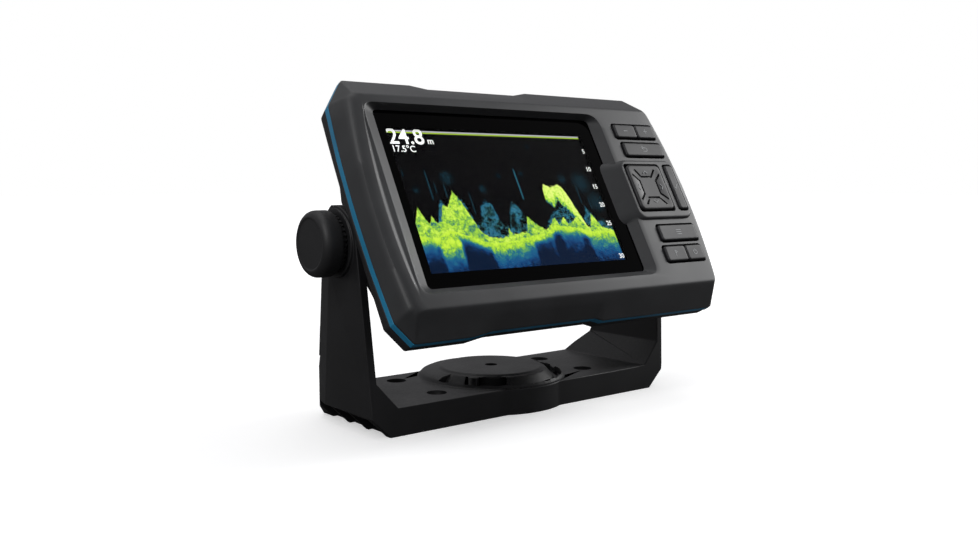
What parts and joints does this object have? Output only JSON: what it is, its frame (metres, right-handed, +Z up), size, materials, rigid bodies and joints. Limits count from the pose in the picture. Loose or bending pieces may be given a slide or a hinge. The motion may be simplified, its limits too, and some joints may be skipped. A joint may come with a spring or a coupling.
{
  "type": "chartplotter display",
  "caption": "Compact keypad chartplotter and sonar display, tilted back on a bail bracket and clamped by a knob at each side.",
  "frame": {"origin": "underside of the bracket's foot, below the centre of its round hub", "axes": "+X to the right seen from the front, along the tilt axis; +Y away from the viewer; +Z up"},
  "size_m": [0.2028, 0.0989, 0.1442],
  "materials": {
    "case": "satin moulded, fine texture",
    "rear_moulding": "matt moulded, fine texture",
    "bracket_plastic": "satin moulded, fine texture",
    "accent": "satin",
    "glass": "gloss",
    "screen": "gloss",
    "light_guide": "matt",
    "board": "satin",
    "shield": "tinned",
    "socket_plastic": "matt",
    "key_rubber": "matt",
    "knob_rubber": "matt",
    "seal_rubber": "matt",
    "steel": "plain",
    "brass": "plain"
  },
  "bodies": {
    "bracket": {"bail_bracket": "bracket_plastic"},
    "display": {"accent_band": "accent", "buzzer": "socket_plastic", "connector_socket": "socket_plastic", "display_window": "glass", "front_bezel": "case", "housing_screw_1": "steel", "housing_screw_2": "steel", "housing_screw_3": "steel", "housing_screw_4": "steel", "housing_screw_5": "steel", "housing_screw_6": "steel", "housing_seal": "seal_rubber", "keypad_board": "board", "keypad_mat": "seal_rubber", "lcd_backlight": "light_guide", "lcd_panel": "screen", "left_grip_washer": "seal_rubber", "left_threaded_insert": "brass", "main_board": "board", "rear_housing": "rear_moulding", "right_grip_washer": "seal_rubber", "right_threaded_insert": "brass", "socket_pin_1": "brass", "socket_pin_2": "brass", "socket_pin_3": "brass", "socket_pin_4": "brass", "sonar_shield_can": "shield"},
    "left_clamp_knob": {"left_knob": "knob_rubber", "left_knob_stud": "steel"},
    "right_clamp_knob": {"right_knob": "knob_rubber", "right_knob_stud": "steel"},
    "direction_pad_tilt": {"direction_pad_post": "seal_rubber"},
    "direction_pad_key": {"direction_pad": "key_rubber"},
    "zoom_out_key_cap": {"zoom_out_key": "key_rubber"},
    "zoom_in_key_cap": {"zoom_in_key": "key_rubber"},
    "back_key_cap": {"back_key": "key_rubber"},
    "select_key_cap": {"select_key": "key_rubber"},
    "menu_key_cap": {"menu_key": "key_rubber"},
    "marker_key_cap": {"marker_key": "key_rubber"},
    "power_key_cap": {"power_key": "key_rubber"}
  },
  "joints": [
    {"name": "display_tilt", "type": "hinge", "parent": "bracket", "child": "display", "pos_m": [0, -0.0111, 0.0784], "axis": [-1, 0, 0], "range_deg": [-27, 30]},
    {"name": "left_knob_turn", "type": "hinge", "parent": "bracket", "child": "left_clamp_knob", "pos_m": [-0.097, -0.0111, 0.0784], "axis": [-1, 0, 0], "continuous": true},
    {"name": "right_knob_turn", "type": "hinge", "parent": "bracket", "child": "right_clamp_knob", "pos_m": [0.097, -0.0111, 0.0784], "axis": [1, 0, 0], "continuous": true},
    {"name": "direction_pad_up_down", "type": "hinge", "parent": "display", "child": "direction_pad_tilt", "pos_m": [0.0647, -0.03443, 0.09688], "axis": [1, 0, 0], "range_deg": [-2.5, 2.5], "stiffness_Nm_per_rad": 1.2},
    {"name": "direction_pad_left_right", "type": "hinge", "parent": "direction_pad_tilt", "child": "direction_pad_key", "pos_m": [0.0647, -0.03443, 0.09688], "axis": [0, 0.4909, 0.8712], "range_deg": [-2.5, 2.5], "stiffness_Nm_per_rad": 1.2},
    {"name": "zoom_out_key_press", "type": "slide", "parent": "display", "child": "zoom_out_key_cap", "axis": [0, 0.8712, -0.4909], "range_m": [0, 0.001], "stiffness_N_per_m": 1800},
    {"name": "zoom_in_key_press", "type": "slide", "parent": "display", "child": "zoom_in_key_cap", "axis": [0, 0.8712, -0.4909], "range_m": [0, 0.001], "stiffness_N_per_m": 1800},
    {"name": "back_key_press", "type": "slide", "parent": "display", "child": "back_key_cap", "axis": [0, 0.8712, -0.4909], "range_m": [0, 0.001], "stiffness_N_per_m": 1800},
    {"name": "select_key_press", "type": "slide", "parent": "display", "child": "select_key_cap", "axis": [0, 0.8712, -0.4909], "range_m": [0, 0.001], "stiffness_N_per_m": 1800},
    {"name": "menu_key_press", "type": "slide", "parent": "display", "child": "menu_key_cap", "axis": [0, 0.8712, -0.4909], "range_m": [0, 0.001], "stiffness_N_per_m": 1800},
    {"name": "marker_key_press", "type": "slide", "parent": "display", "child": "marker_key_cap", "axis": [0, 0.8712, -0.4909], "range_m": [0, 0.001], "stiffness_N_per_m": 1800},
    {"name": "power_key_press", "type": "slide", "parent": "display", "child": "power_key_cap", "axis": [0, 0.8712, -0.4909], "range_m": [0, 0.001], "stiffness_N_per_m": 1800}
  ]
}
